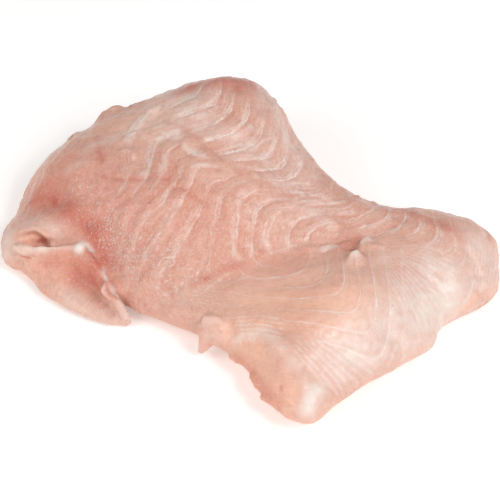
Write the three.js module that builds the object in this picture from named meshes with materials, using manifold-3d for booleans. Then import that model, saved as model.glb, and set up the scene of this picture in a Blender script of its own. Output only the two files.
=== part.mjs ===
// A raw, skinless elephant fish fillet, laid down with its belly flap folded round at one end.
// One solid, in millimetres, +Z up. The origin is on the table, under the middle of the fillet's box.
// +X runs along the fillet to the tail end and +Y runs to its back edge, where the loin is thickest.

import * as THREE from 'three';
import Module from 'manifold-3d';

// Driving dimensions of the flesh.
const FLESH_HEIGHT = 19;        // height of the flesh where no hill or dip changes it
const EDGE_SHARE = 0.42;        // height of the edge's widest line, as a share of the flesh above it
const UNDER_ROUND = 7;          // how far the rounding reaches in under the edge, down to the table

// The steps of the surface grid.
const STATIONS = 92;            // along the fillet, from the belly end to the tail end
const TOP_STEPS = 36;           // across the top, from the back edge to the front edge
const UNDER_STEPS = 8;          // across the underside
const END_GATHER = 0.6;         // how much the stations gather at the two ends, from 0 to 1
const EDGE_GATHER = 0.5;        // and the steps across at the two edges
const EDGE_SAMPLES = 2000;      // points along each edge that distances are measured from

// The plan's two edges, from the belly end to the tail end: x, y and how far the rounding of the top
// reaches in from there.
const BELLY_END = [-92, 12, 10];
const TAIL_END = [90, -2, 16];
const BACK_EDGE = [
  [-91.5, 21, 12], [-87.5, 35, 16], [-77, 57, 17], [-59, 71, 17], [-36, 77, 17], [-8, 83.5, 17],
  [6.5, 82, 17], [13, 65.5, 17], [20.3, 50, 17], [31, 36, 17], [50, 22.5, 17], [67, 22.5, 17], [80, 21, 17],
  [89.2, 12.5, 15],
];
const FRONT_EDGE = [
  [-90, 5, 9], [-82, 3, 8], [-72, 2, 8], [-58, -5, 8], [-46, -15.5, 8], [-30, -25, 9], [-20, -31, 10],
  [-8, -41, 9], [1, -53, 9], [6, -64, 10], [19, -73, 13], [31, -63, 22], [54, -44, 24], [63, -37, 22],
  [69, -27, 18], [79, -19, 13], [88.5, -11, 14],
];

// Hills and dips of the top: the middle of each, how far it is turned, its reach along and across that
// direction, and its height.
const LANDFORMS = {
  loin: { at: [-10, 50], turn: 0, reach: [44, 36], height: 31 },
  loinSlope: { at: [-18, 11], turn: -4, reach: [36, 19], height: 11 },
  belly: { at: [-62, 32], turn: 30, reach: [18, 20], height: 7 },
  bellyEnd: { at: [-86, 22], turn: 90, reach: [26, 14], height: -4 },
  foldValley: { at: [-73, 21], turn: -15, reach: [15, 6], height: -3 },
  foldTurn: { at: [-55, 5], turn: -60, reach: [13, 6], height: -3 },
  foldRoll: { at: [-76, 11], turn: -5, reach: [16, 6], height: 2 },
  flapSeat: { at: [-66, -2], turn: -15, reach: [22, 8], height: -6 },
  frontDip: { at: [-36, -18], turn: -20, reach: [24, 13], height: -5 },
  tail: { at: [60, 8], turn: -20, reach: [30, 20], height: 9 },
  frontLobe: { at: [32, -31], turn: 35, reach: [30, 20], height: 10 },
  crease: { at: [10, -8], turn: 15, reach: [34, 6], height: -4.5 },
  cutRidge: { at: [9, -51], turn: -50, reach: [20, 4], height: 1.5 },
  tailFold: { at: [81, -12], turn: 57, reach: [12, 4], height: -4 },
  creasePit: { at: [36, -2], turn: 15, reach: [6, 4], height: -4 },
};

// The knife cut at the front left, where the edge is a flat bevel and not a rounding.
const CUT_FACE = { at: [3, -54], turn: -50, reach: [24, 14], height: 1 };

// The flakes: muscle leaves that end at the top in curved lines, numbered along the fillet. The seam parts
// the upper muscle from the middle one and the crease parts that from the front lobe: x and y along each.
const RELIEF = 0.9;             // depth of the grooves between flakes
const FLAKES_PER_GROOVE = 2;    // only every second line is cut as a groove
const RELIEF_START = [-52, -34];  // x over which the relief fades in from the smooth belly end
const ZONE_BLEND = 3;           // how far a zone of flakes takes to fade in
const SEAM = [[-60, 58], [-38, 45], [-25, 36], [-9, 19.5], [4, 17], [28, 8.5], [41, 1], [75, -14]];
const CREASE = [[-20, -16], [-11, -11], [9, -5], [29, -2.6], [41, 1], [75, -14]];
const UPPER_FLAKE = { firstX: -16, width: 5.2, lean: 0.2, steps: [[-52, 0], [-26, 4], [13, 15], [23, 17]] };
const MIDDLE_FLAKE = {
  width: 6.3, lean: 0.55, leanX: -2, fanWidth: 18, leanTop: 18, bend: 0.07, bendDepth: 15,
};
const FRONT_FLAKE = { firstX: 27.5, width: 5.1, firstY: -25, height: 5.8, slope: 0.33, middleX: 20 };
const CORNER_BLEND = 1.5;       // roundness of the lines' bends, in flakes

// The belly flap: a folded-back sheet whose free top edge and foot run from the nose to the right.
const FLAP_THICK = 3.2;
const FLAP_STATIONS = 22;
const FLAP_STEPS = 9;           // down each face
const FLAP_DENT = { at: [0.72, 0.38], reach: [0.3, 0.2], depth: 4 };    // hollow across its outer face
const FLAP_SWELL = { at: [0.55, 0.8], reach: [0.4, 0.18], depth: -1.5 };  // and the swelling below it
const FLAP_TOP = [
  [-82.5, 3.6, 14.5], [-79, 3.1, 15.3], [-72, 2.4, 16.8], [-60.5, 1.7, 18.4], [-56, -4.6, 16],
  [-51, -11.6, 11.8], [-45, -19.5, 3.5],
];
const FLAP_FOOT = [
  [-88, 7, 4], [-82, 1.6, 3], [-71, -9.5, 1.6], [-60, -17, 1.6], [-50, -21.5, 1.6], [-45.5, -20, 1.6],
];

// The rolled lip along the first stretch of the flap's top, and the hollow behind it, which runs on as a
// thin crease round the lip's tip.
const LIP_PATH = [[-85.2, 3.2, 14.3], [-80, 2.3, 15.2], [-72, 1.5, 16.8], [-60.5, 1.2, 18.2]];
const LIP_RADII = [1.2, 2, 2.1, 2, 1.7, 1.4, 1.1];
const HOLLOW_PATH = [
  [-79, 0.8, 12.8], [-84.2, 2, 12.8], [-87, 4.4, 14], [-84, 7, 15.8], [-78, 7.4, 16],
  [-74, 6.4, 13.5], [-71, 5, 10],
];
const HOLLOW_RADII = [0.5, 0.8, 1.4, 2.6, 3, 2.1, 1];

// Loose shreds: paths and radii.
const EDGE_STRING = [
  [-60, 0.4, 18.2], [-56, -4.9, 16.4], [-53, -8.8, 14.2], [-51, -12.6, 12], [-50.2, -14.8, 9.3],
  [-47.4, -18, 5.8], [-43.5, -21.5, 1.8],
];
const EDGE_STRING_RADII = [0.8, 0.8, 1, 2.1, 2.3, 1.5, 1.2];
const HANGING_TAG = [[-16, -30.5, 16], [-13.4, -33, 15], [-11.6, -34.8, 12.6], [-12.4, -36.8, 8.6]];
const HANGING_TAG_RADII = [2, 3.1, 3, 2.2];
const TAG_LEG = [[-15.6, -32, 14.5], [-15.6, -35.6, 9], [-17.6, -35.4, 2.4]];
const TAG_LEG_RADII = [2.4, 2.8, 1.5];
const TUBE_SIDES = 10;
const TUBE_STEPS = 20;

const vector = ([x, y, z = 0]) => new THREE.Vector3(x, y, z);

function curveThrough(points) {
  return new THREE.CatmullRomCurve3(points.map(vector), false, 'centripetal');
}

// Rings of points, one after another, become one closed skin with a point at each end.
function loft(rings, startPoint, endPoint) {
  const count = rings[0].length;
  const end = 1 + rings.length * count;
  const at = (ring, side) => 1 + ring * count + (side % count);
  const positions = [startPoint, ...rings.flat(), endPoint].flatMap((p) => [p.x, p.y, p.z]);
  const triangles = [];
  for (let side = 0; side < count; side++) {
    triangles.push(0, at(0, side + 1), at(0, side));
    for (let ring = 0; ring + 1 < rings.length; ring++) {
      triangles.push(at(ring, side), at(ring, side + 1), at(ring + 1, side));
      triangles.push(at(ring + 1, side), at(ring, side + 1), at(ring + 1, side + 1));
    }
    triangles.push(end, at(rings.length - 1, side), at(rings.length - 1, side + 1));
  }
  const geometry = new THREE.BufferGeometry();
  geometry.setAttribute('position', new THREE.Float32BufferAttribute(positions, 3));
  geometry.setIndex(triangles);
  return geometry;
}

function hill({ at, turn, reach, height }, x, y) {
  const offset = new THREE.Vector2(x - at[0], y - at[1]);
  offset.rotateAround(new THREE.Vector2(), -THREE.MathUtils.degToRad(turn));
  return height * Math.exp(-((offset.x / reach[0]) ** 2) - (offset.y / reach[1]) ** 2);
}

function fleshHeight(x, y) {
  return Object.values(LANDFORMS).reduce((height, landform) => height + hill(landform, x, y), FLESH_HEIGHT);
}

// The value of a line of x and value pairs at some x, carried straight on past its ends.
function valueAt(line, x) {
  const next = line.findIndex(([lineX], i) => i > 0 && (x <= lineX || i === line.length - 1));
  const [fromX, from] = line[next - 1];
  const [toX, to] = line[next];
  return THREE.MathUtils.mapLinear(x, fromX, toX, from, to);
}

const softMax = (a, b) => 0.5 * (a + b + Math.hypot(a - b, CORNER_BLEND));

// Flake numbers: whole numbers on the lines between flakes. The upper and front lines run down and bend,
// and the middle ones fan out from upright to leaning.
function upperFlake(x, y) {
  const { firstX, width, lean, steps } = UPPER_FLAKE;
  return softMax((x - firstX) / width, valueAt(steps, lean * x - y));
}

function middleFlake(x, y) {
  const { width, lean, leanX, fanWidth, leanTop, bend, bendDepth } = MIDDLE_FLAKE;
  const fullLean = lean * Math.max(leanTop - y, 0);
  const leaning = fullLean * THREE.MathUtils.clamp((leanX - x) / (fanWidth + fullLean), 0, 1);
  const bending = bend * Math.max(bendDepth - (valueAt(SEAM, x) - y), 0) ** 2;
  return (x + leaning - bending) / width;
}

function frontFlake(x, y) {
  const { firstX, width, firstY, height, slope, middleX } = FRONT_FLAKE;
  return softMax((x - firstX) / width, (firstY - y - slope * (x - middleX)) / height);
}

// Low relief of the flakes, deepest on the lines between them.
function flakeRelief(x, y) {
  const { smoothstep } = THREE.MathUtils;
  const upper = smoothstep(y - valueAt(SEAM, x), -ZONE_BLEND, ZONE_BLEND);
  const front = smoothstep(valueAt(CREASE, x) - y, -ZONE_BLEND, ZONE_BLEND);
  const groove = (flake) => Math.cos(Math.PI * flake / FLAKES_PER_GROOVE) ** 2;
  const depth = upper * groove(upperFlake(x, y)) + front * groove(frontFlake(x, y))
    + Math.max(1 - upper - front, 0) * groove(middleFlake(x, y));
  return -RELIEF * depth * smoothstep(x, ...RELIEF_START);
}

// Even shares from 0 to 1, gathered towards both ends.
function gathered(share, amount) {
  return THREE.MathUtils.lerp(share, 0.5 * (1 - Math.cos(Math.PI * share)), amount);
}

// A quarter of an ellipse: 0 at the edge, 1 once it is a whole reach inside it.
function rounding(distance, reach) {
  const share = THREE.MathUtils.clamp(distance / reach, 0, 1);
  return Math.sqrt(1 - (1 - share) ** 2);
}

// The body of the fillet, lofted through rings that go over the top and back along the underside.
function bodyGeometry() {
  const backEdge = curveThrough([BELLY_END, ...BACK_EDGE, TAIL_END]);
  const frontEdge = curveThrough([BELLY_END, ...FRONT_EDGE, TAIL_END]);
  const stationsOn = (edge) => Array.from(
    { length: STATIONS + 1 }, (_, i) => edge.getPointAt(gathered(i / STATIONS, END_GATHER)));
  const back = stationsOn(backEdge);
  const front = stationsOn(frontEdge);
  const edgeLine = [backEdge, frontEdge].flatMap((edge) => {
    const spacing = edge.getLength() / EDGE_SAMPLES;
    return edge.getSpacedPoints(EDGE_SAMPLES).map((point) => ({ point, spacing }));
  });

  // How far inside the edge a plan point is, and how round the edge is near it. The sum stands for an
  // integral along the edge, which gives the true distance to a straight edge and is smooth in corners.
  function insideEdge(x, y) {
    let sum = 0;
    let round = 0;
    for (const { point, spacing } of edgeLine) {
      const weight = spacing / ((point.x - x) ** 2 + (point.y - y) ** 2) ** 2;
      sum += weight;
      round += weight * point.z;
    }
    return { distance: (sum * 2 / Math.PI) ** (-1 / 3), round: round / sum };
  }

  const edgeHeight = (x, y) => EDGE_SHARE * fleshHeight(x, y);
  const edgePoint = ({ x, y }) => new THREE.Vector3(x, y, edgeHeight(x, y));

  function topPoint({ x, y }) {
    const { distance, round } = insideEdge(x, y);
    const low = edgeHeight(x, y);
    const rise = fleshHeight(x, y) + flakeRelief(x, y) - low;
    const bevel = THREE.MathUtils.clamp(distance / round, 0, 1);
    const profile = THREE.MathUtils.lerp(rounding(distance, round), bevel, hill(CUT_FACE, x, y));
    return new THREE.Vector3(x, y, low + rise * profile);
  }

  function underPoint({ x, y }) {
    const { distance } = insideEdge(x, y);
    return new THREE.Vector3(x, y, edgeHeight(x, y) * (1 - rounding(distance, UNDER_ROUND)));
  }

  // The points between two edge points, closer together near the edges.
  function between(from, to, steps) {
    const points = [];
    for (let step = 1; step < steps; step++) {
      points.push(from.clone().lerp(to, gathered(step / steps, EDGE_GATHER)));
    }
    return points;
  }

  const rings = [];
  for (let station = 1; station < STATIONS; station++) {
    const from = back[station];
    const to = front[station];
    rings.push([
      edgePoint(from), ...between(from, to, TOP_STEPS).map(topPoint),
      edgePoint(to), ...between(to, from, UNDER_STEPS).map(underPoint),
    ]);
  }
  return loft(rings, edgePoint(back[0]), edgePoint(back[STATIONS]));
}

// The flap: rings go down its outer face, and up its inner face to its rounded top edge.
function flapGeometry() {
  const tops = curveThrough(FLAP_TOP).getSpacedPoints(FLAP_STATIONS);
  const feet = curveThrough(FLAP_FOOT).getSpacedPoints(FLAP_STATIONS);
  const along = (i, line) => line[Math.min(i + 1, FLAP_STATIONS)].clone().sub(line[Math.max(i - 1, 0)]);
  const rings = tops.map((top, i) => {
    const foot = feet[i];
    const down = foot.clone().sub(top);
    const outward = down.clone().cross(along(i, tops).add(along(i, feet))).normalize();
    const dentAt = (share, { at, reach, depth }) => {
      const offset = [(i / FLAP_STATIONS - at[0]) / reach[0], (share - at[1]) / reach[1]];
      return depth * Math.exp(-(offset[0] ** 2) - offset[1] ** 2);
    };
    const facePoint = (share, depth) => {
      const dent = dentAt(share, FLAP_DENT) + dentAt(share, FLAP_SWELL);
      const point = top.clone().addScaledVector(down, share).addScaledVector(outward, -depth - dent);
      return point.setZ(Math.max(point.z, 0));
    };
    const shares = Array.from({ length: FLAP_STEPS + 1 }, (_, step) => step / FLAP_STEPS);
    const edgeRound = (share) => rounding(share * down.length(), FLAP_THICK / 2);
    const outer = shares.map((share) => facePoint(share, -0.5 * FLAP_THICK * edgeRound(share)));
    const inner = shares.slice(1).map((share) => facePoint(share, 0.5 * FLAP_THICK * edgeRound(share)));
    return [...outer, ...inner.reverse()];
  });
  const middle = (ring) => ring.reduce((sum, p) => sum.add(p), new THREE.Vector3()).divideScalar(ring.length);
  return loft(rings, middle(rings[0]), middle(rings[rings.length - 1]));
}

// A round strand along a path, with a radius for each of the path's points.
function strandGeometry(path, radii) {
  const curve = curveThrough(path);
  const radiusCurve = curveThrough(radii.map((radius, i) => [i, radius]));
  const { normals, binormals } = curve.computeFrenetFrames(TUBE_STEPS);
  const rings = [];
  for (let step = 0; step <= TUBE_STEPS; step++) {
    const middle = curve.getPointAt(step / TUBE_STEPS);
    const radius = radiusCurve.getPoint(step / TUBE_STEPS).y;
    const ring = [];
    for (let side = 0; side < TUBE_SIDES; side++) {
      const turn = 2 * Math.PI * side / TUBE_SIDES;
      ring.push(middle.clone()
        .addScaledVector(normals[step], radius * Math.cos(turn))
        .addScaledVector(binormals[step], radius * Math.sin(turn)));
    }
    rings.push(ring);
  }
  return loft(rings, curve.getPointAt(0), curve.getPointAt(1));
}

const wasm = await Module();
wasm.setup();

function solidFrom(geometry) {
  const vertProperties = new Float32Array(geometry.attributes.position.array);
  const triVerts = new Uint32Array(geometry.index.array);
  return new wasm.Manifold(new wasm.Mesh({ numProp: 3, vertProperties, triVerts }));
}

function geometryFrom(solid) {
  const { vertProperties, triVerts } = solid.getMesh();
  const geometry = new THREE.BufferGeometry();
  geometry.setAttribute('position', new THREE.Float32BufferAttribute(vertProperties, 3));
  geometry.setIndex(Array.from(triVerts));
  return geometry;
}

const filletSolid = solidFrom(bodyGeometry())
  .add(solidFrom(flapGeometry()))
  .subtract(solidFrom(strandGeometry(HOLLOW_PATH, HOLLOW_RADII)))
  .add(solidFrom(strandGeometry(LIP_PATH, LIP_RADII)))
  .add(solidFrom(strandGeometry(EDGE_STRING, EDGE_STRING_RADII)))
  .add(solidFrom(strandGeometry(HANGING_TAG, HANGING_TAG_RADII)))
  .add(solidFrom(strandGeometry(TAG_LEG, TAG_LEG_RADII)));

const flesh = new THREE.MeshStandardMaterial({ color: 0xe6b9a6, roughness: 0.4, metalness: 0 });

const fillet = new THREE.Mesh(geometryFrom(filletSolid), flesh);
fillet.name = 'fillet';

// The origin goes on the table, under the middle of the box.
fillet.geometry.computeBoundingBox();
const { min, max } = fillet.geometry.boundingBox;
fillet.position.set(-0.5 * (min.x + max.x), -0.5 * (min.y + max.y), -min.z);

const part = new THREE.Group();
part.add(fillet);

export default part;
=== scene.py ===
# %% [markdown]
# # A raw elephant fish fillet
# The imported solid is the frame: it gives the fillet's true form and size, but its surface is plain facets.
# This script lays a finer skin over that form, adds the flakes, fibres and torn shreds of the real flesh,
# paints it with one wet flesh material, and lights it as in a small photo studio.

# %% Load the solid
import math
import random

import bmesh
import bpy
import numpy as np
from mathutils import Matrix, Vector, noise
from mathutils.bvhtree import BVHTree


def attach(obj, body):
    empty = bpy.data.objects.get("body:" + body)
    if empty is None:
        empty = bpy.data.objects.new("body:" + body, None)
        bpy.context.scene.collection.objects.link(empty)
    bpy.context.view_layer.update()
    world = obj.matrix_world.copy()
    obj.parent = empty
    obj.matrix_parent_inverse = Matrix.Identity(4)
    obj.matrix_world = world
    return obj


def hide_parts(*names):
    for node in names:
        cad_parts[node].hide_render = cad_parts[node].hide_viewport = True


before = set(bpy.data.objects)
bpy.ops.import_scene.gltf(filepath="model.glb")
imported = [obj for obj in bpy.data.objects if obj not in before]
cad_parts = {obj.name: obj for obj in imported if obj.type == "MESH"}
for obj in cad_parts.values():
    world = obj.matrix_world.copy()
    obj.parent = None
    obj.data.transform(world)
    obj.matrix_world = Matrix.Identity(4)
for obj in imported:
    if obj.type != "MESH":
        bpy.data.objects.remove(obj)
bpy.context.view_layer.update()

MM = 0.001
scene = bpy.context.scene

# %% [markdown]
# ## The camera
# The photograph looks down at 45 degrees through a long lens, so that near and far flakes are almost the
# same size. The camera comes first, because details are placed by the pixel where the photograph shows
# them: a sight line through that pixel meets the flesh at the point that carries the detail.

# %% Camera
LENS = 120                                # mm
SENSOR = 36                               # mm
ELEVATION = math.radians(45)
DISTANCE = 600 * MM
TARGET = Vector((0.9, -5.5, 18.0)) * MM

to_camera = Vector((0, -math.cos(ELEVATION), math.sin(ELEVATION)))
picture_up = Vector((0, math.sin(ELEVATION), math.cos(ELEVATION)))
picture_right = Vector((1, 0, 0))
eye = TARGET + DISTANCE * to_camera


def placed(name, data):
    """A new object with this data, linked into the scene."""
    made = bpy.data.objects.new(name, data)
    scene.collection.objects.link(made)
    return made


camera = placed("camera", bpy.data.cameras.new("camera"))
camera.data.lens = LENS
camera.data.sensor_width = SENSOR
camera.location = eye
camera.rotation_euler = (-to_camera).to_track_quat("-Z", "Y").to_euler()
scene.camera = camera
print("the camera is", round(DISTANCE / MM), "mm from the fillet's middle")

# %% Sight lines that meet the flesh
PHOTO_MIDDLE = 250                        # pixels, half of the square picture
PASSING_DEPTHS = range(500, 700, 2)       # mm from the camera, where a sight line can pass the fillet
SAME_POINT = 0.001                        # mm, corners this close are one


def sight_line(pixel):
    """The direction from the camera through a pixel of the photograph."""
    half_width = SENSOR / 2 / LENS
    x, y = (float(part) for part in pixel)
    right = half_width * (x - PHOTO_MIDDLE) / PHOTO_MIDDLE
    up = half_width * (PHOTO_MIDDLE - y) / PHOTO_MIDDLE
    return (right * picture_right + up * picture_up - to_camera).normalized()


solid = bmesh.new()
solid.from_mesh(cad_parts["fillet"].data)
bmesh.ops.remove_doubles(solid, verts=solid.verts, dist=SAME_POINT * MM)
bmesh.ops.triangulate(solid, faces=solid.faces)
solid_surface = BVHTree.FromBMesh(solid)


def on_flesh(pixel, lift=0):
    """The point of the flesh behind a pixel, or closest to its sight line, lifted off it by some mm."""
    direction = sight_line(pixel)
    point, normal, _, _ = solid_surface.ray_cast(eye, direction)
    if point is None:
        passed = [solid_surface.find_nearest(eye + direction * depth * MM) for depth in PASSING_DEPTHS]
        point, normal, _, _ = min(passed, key=lambda found: found[3])
    return point + normal * lift * MM


print("solid has", len(solid.faces), "triangles; the picture's middle is at", on_flesh([PHOTO_MIDDLE] * 2))

# %% [markdown]
# ## Torn shreds
# A knife-cut fillet has loose bits: crumbs of flesh in the crease, beads along the flap's lip and edge, nicks
# along the cut edge and frayed bits along the upper rim. A few rolls of flesh lie half sunk in the crease and
# in the hollow. Each could be a separate object, but they grow out of the flesh, so they are made as thick
# curves that start in it and are fused with it next.

# %% Shreds as thick curves
# Pixel of each point, its lift off the flesh and its radius, in mm.
SHREDS = {
    "tag_face": [(203, 319, 0.2, 1.6), (213, 319, 0.4, 1.8), (221, 322, 0.3, 1.7), (221, 333, 0.3, 1.7)],
    "lip_end": [(16, 247, 0.1, 1.4), (19, 248, 0.3, 1.8), (24, 248, 0.3, 1.8), (30, 248, 0, 1.5)],
    "upper_crumb": [(363, 251, 0.2, 1.2), (366, 246, 1.4, 1.7), (370, 241, 1.1, 1.4)],
    "upper_crumb_root": [(368, 248, 0.4, 1.2), (376, 246, 0.7, 1.0), (385, 249, 0.1, 0.7)],
    "lower_crumb": [(349, 265, 0.6, 1.2), (351, 261, 2.4, 1.6), (357, 257, 2.6, 1.7), (362, 260, 0.8, 1.2)],
    "lower_crumb_root": [(352, 268, 0.1, 0.9), (357, 263, 1.2, 1.3), (363, 262, 0.3, 1.0)],
    "pit_roll": [(330, 252, -0.6, 2.0), (342, 249, -0.2, 2.4), (352, 246, -0.2, 2.2), (360, 244, -0.6, 1.6)],
    "crease_leaf": [(320, 252, 0.2, 1.1), (327, 250, 1.0, 1.3), (334, 252, 1.0, 1.1), (339, 255, 0.3, 0.8)],
    "crease_leaf_left": [(300, 252, 0.1, 1.1), (308, 249, 0.5, 1.4), (315, 251, 0.1, 1.2)],
    "ring_roll": [
        (18, 234, -0.2, 1.1), (23, 230, 0, 1.3), (33, 228, 0, 1.4), (42, 230, 0, 1.4), (50, 237, 0, 1.2),
    ],
    "lip_bead": [(76, 251, 0.3, 1.0), (79, 248, 0.9, 1.4), (83, 245, 0.5, 1.2)],
    "edge_roll": [(95, 254, -0.4, 1.5), (100, 263, -0.2, 1.7), (106, 273, -0.2, 1.6), (111, 281, -0.4, 1.3)],
    "hollow_roll": [(22, 242, -0.8, 1.3), (28, 241, -0.6, 1.8), (35, 240, -0.7, 1.7), (40, 238, -1.0, 1.2)],
    "ring_bead": [(51, 234, 0.3, 0.8), (53, 239, 0.4, 0.9)],
    "edge_knuckle": [(108, 281, 0.4, 1.2), (105, 287, 1.1, 1.7), (106, 294, 1.1, 1.6), (111, 299, 0.4, 1.2)],
    "edge_strip": [(111, 296, 0.6, 1.3), (116, 304, 1.0, 1.7), (121, 312, 1.0, 1.5), (127, 320, 0.6, 1.0)],
    "edge_slit": [(116, 279, 0.2, 1.0), (120, 286, 0.4, 1.1), (122, 293, 0.2, 1.0)],
    "curl": [(121, 151, 0.2, 0.6), (128, 150, 0.4, 0.7), (133, 153, 0.5, 0.7), (134, 158, 0.2, 0.6)],
    "rim_tatters": [(105, 115, 0, 1.1), (109, 112, 0.5, 1.3), (115, 110, 0.5, 1.2), (121, 109, 0, 1.0)],
    "rim_tatters_right": [(129, 106, 0, 1.0), (135, 104, 0.4, 1.1), (141, 103, 0, 1.0)],
    "rim_patch": [(149, 113, 0, 1.0), (153, 110, 0.2, 1.1), (157, 110, 0, 1.0)],
    "left_tatter": [(79, 133, 0, 1.0), (73, 136, 0.3, 1.1), (68, 140, 0, 1.0)],
    "cut_nick_high": [(229, 357, 0.2, 1.1), (234, 361, 0.6, 1.2), (241, 363, 0.2, 1.0)],
    "cut_nick_middle": [(251, 375, 0.2, 1.0), (257, 380, 0.8, 1.4), (258, 388, 0.3, 1.0)],
    "cut_nick_low": [(262, 396, 0.3, 1.0), (268, 401, 0.8, 1.4), (276, 404, 0.3, 1.0)],
    "cut_nick_tip": [(281, 411, 0.2, 0.9), (286, 416, 0.5, 1.1), (293, 419, 0.2, 0.9)],
}
CURVE_SIDES = 3                           # bevel resolution of the curves
CURVE_ORDER = 3                           # how softly a curve follows its points


def plain_mesh(holder):
    """A curve with its thickness, or an object with its modifiers, as a plain mesh."""
    return bpy.data.meshes.new_from_object(holder.evaluated_get(bpy.context.evaluated_depsgraph_get()))


def shred_mesh(name, points):
    """A closed tube through the points, as thick as their radii."""
    curve = bpy.data.curves.new(name, "CURVE")
    curve.dimensions = "3D"
    curve.bevel_depth = MM
    curve.bevel_resolution = CURVE_SIDES
    curve.use_fill_caps = True
    line = curve.splines.new("NURBS")
    line.points.add(len(points) - 1)
    for point, (x, y, lift, radius) in zip(line.points, points):
        point.co = (*on_flesh((x, y), lift), 1)
        point.radius = radius
    line.use_endpoint_u = True
    line.order_u = CURVE_ORDER
    holder = placed(name, curve)
    mesh = plain_mesh(holder)
    bpy.data.objects.remove(holder)
    return mesh


for shred, shred_points in SHREDS.items():
    solid.from_mesh(shred_mesh(shred, shred_points))
print("shreds:", ", ".join(SHREDS))

# %% [markdown]
# ## One fine skin
# Solid and shreds still cross each other. A voxel remesh turns them into one closed skin of even small
# faces, as soft flesh is one body. It also gives every part of the surface enough points for relief, and a
# little smoothing takes out the facets of the solid.

# %% Remesh and smooth
VOXEL = 0.78                              # mm
SMOOTH_STEPS = 5
SMOOTH_FACTOR = 0.5                       # how far a point moves to its neighbours' middle in one step
FLOOR_SKIN = 0.15                         # mm, points this low belong to the flat underside

fused = bpy.data.meshes.new("fused")
solid.to_mesh(fused)
solid.free()
fillet = placed("raw_fillet", fused)
remesh = fillet.modifiers.new("even_skin", "REMESH")
remesh.mode = "VOXEL"
remesh.voxel_size = VOXEL * MM
remesh.use_smooth_shade = True
smooth = fillet.modifiers.new("soften", "SMOOTH")
smooth.factor = SMOOTH_FACTOR
smooth.iterations = SMOOTH_STEPS
skin = plain_mesh(fillet)
fillet.modifiers.clear()
fillet.data = skin
skin.name = "raw_fillet"


def rows_of(source, field):
    """The points or normals of the skin as rows of three numbers."""
    rows = np.empty(3 * len(source), np.float32)
    source.foreach_get(field, rows)
    return rows.reshape(-1, 3).astype(float)


points = rows_of(skin.vertices, "co") / MM
on_floor = points[:, 2] < FLOOR_SKIN
points[on_floor, 2] = 0
print("skin has", len(skin.vertices), "points and", len(skin.polygons), "faces")

# %% [markdown]
# ## Lines by pixel
# Much of what follows is drawn: a line through a few pixels of the photograph is rounded, cut into short
# steps and laid on the flesh. It then acts by distance in space, so that it stays on its own side of a
# fold and looks right from any view.

# %% Lay lines on the flesh
TRACE_STEP = 4                            # pixels
FADE_REACHES = 2.6                        # reaches, where a stroke has faded out
CORNER_CUTS = 2
CORNER_SHARE = 0.25                       # of each side, cut off at a corner
SHORTEST = 1e-9                           # square mm, keeps a division safe on a path of one point
SAMPLE_LINE = [(240, 250), (260, 250)]


def traced(pixels):
    """Points close together, in mm, along a rounded line of pixels, which can have a lift off the flesh."""
    corners = [np.array(pixel, float) for pixel in pixels]
    for _ in range(CORNER_CUTS):
        cut = [corners[0]]
        for start, end in zip(corners, corners[1:]):
            side = end - start
            cut += [start + CORNER_SHARE * side, end - CORNER_SHARE * side]
        corners = cut + [corners[-1]]
    places = [corners[0]]
    for start, end in zip(corners, corners[1:]):
        steps = max(1, round(np.linalg.norm(end - start) / TRACE_STEP))
        places += [start + (end - start) * step / steps for step in range(1, steps + 1)]
    return np.array([on_flesh(place[:2], *place[2:]) for place in places]) / MM


def distance_to_path(where, path):
    """How far each point is from a path, in mm."""
    nearest = np.full(len(where), np.inf)
    for start, end in zip(path, path[1:]):
        way = end - start
        share = np.clip((where - start) @ way / max(way @ way, SHORTEST), 0, 1)
        nearest = np.minimum(nearest, np.linalg.norm(where - start - share[:, None] * way, axis=1))
    return nearest


def painted(strokes, hardness=2):
    """The strength of all strokes of one kind at each point of the skin, soft or with a firm edge."""
    total = np.zeros(len(points))
    for reach, strength, pixels in strokes.values():
        path = traced(pixels if len(pixels) > 1 else pixels * 2)
        margin = FADE_REACHES * reach
        near = np.all((points > path.min(axis=0) - margin) & (points < path.max(axis=0) + margin), axis=1)
        total[near] += strength * np.exp(-(distance_to_path(points[near], path) / reach) ** hardness)
    return total


print("a line of 20 pixels has", len(traced(SAMPLE_LINE)), "points on the flesh")

# %% [markdown]
# ## A soft crease
# Between the middle muscle and the front lobe the flesh bends without a sharp edge, and the flap's lip runs
# out into the flap in the same way. The solid has firm edges there and along its back, so the skin is
# relaxed: each point moves towards the middle of its neighbours, many times over. The crumbs keep their form.

# %% Relax the skin along the crease, the lip and the back
# Reach in mm, strength, and the pixels that the stroke passes, as for all strokes.
SOFTENED = {
    "crease": (
        5.5, 0.6, [(205, 292), (225, 289), (245, 284), (262, 279), (282, 272), (305, 264), (332, 258)],
    ),
    "lip foot": (2.2, 1.0, [(36, 254), (52, 254), (70, 252)]),
}
KEPT_SHARP = {"crumbs": (6.5, 1.0, [(324, 251), (340, 254), (355, 252), (370, 240)])}
SOFT_STEPS = 150
LEAST_SHARE = 0.02                        # points that would be relaxed less than this stay
FACING_BACK = (0.3, 0.6)                  # backward part of the normal, from not relaxed to fully


def smoothstep(value, low, high):
    """A soft rise from 0 at the low value to 1 at the high one."""
    share = np.clip((value - low) / (high - low), 0, 1)
    return share * share * (3 - 2 * share)


def normals_at(where):
    """The skin's normals after its points are moved to some place, in mm."""
    skin.vertices.foreach_set("co", (where * MM).astype(np.float32).ravel())
    skin.update()
    return rows_of(skin.vertex_normals, "vector")


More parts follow.
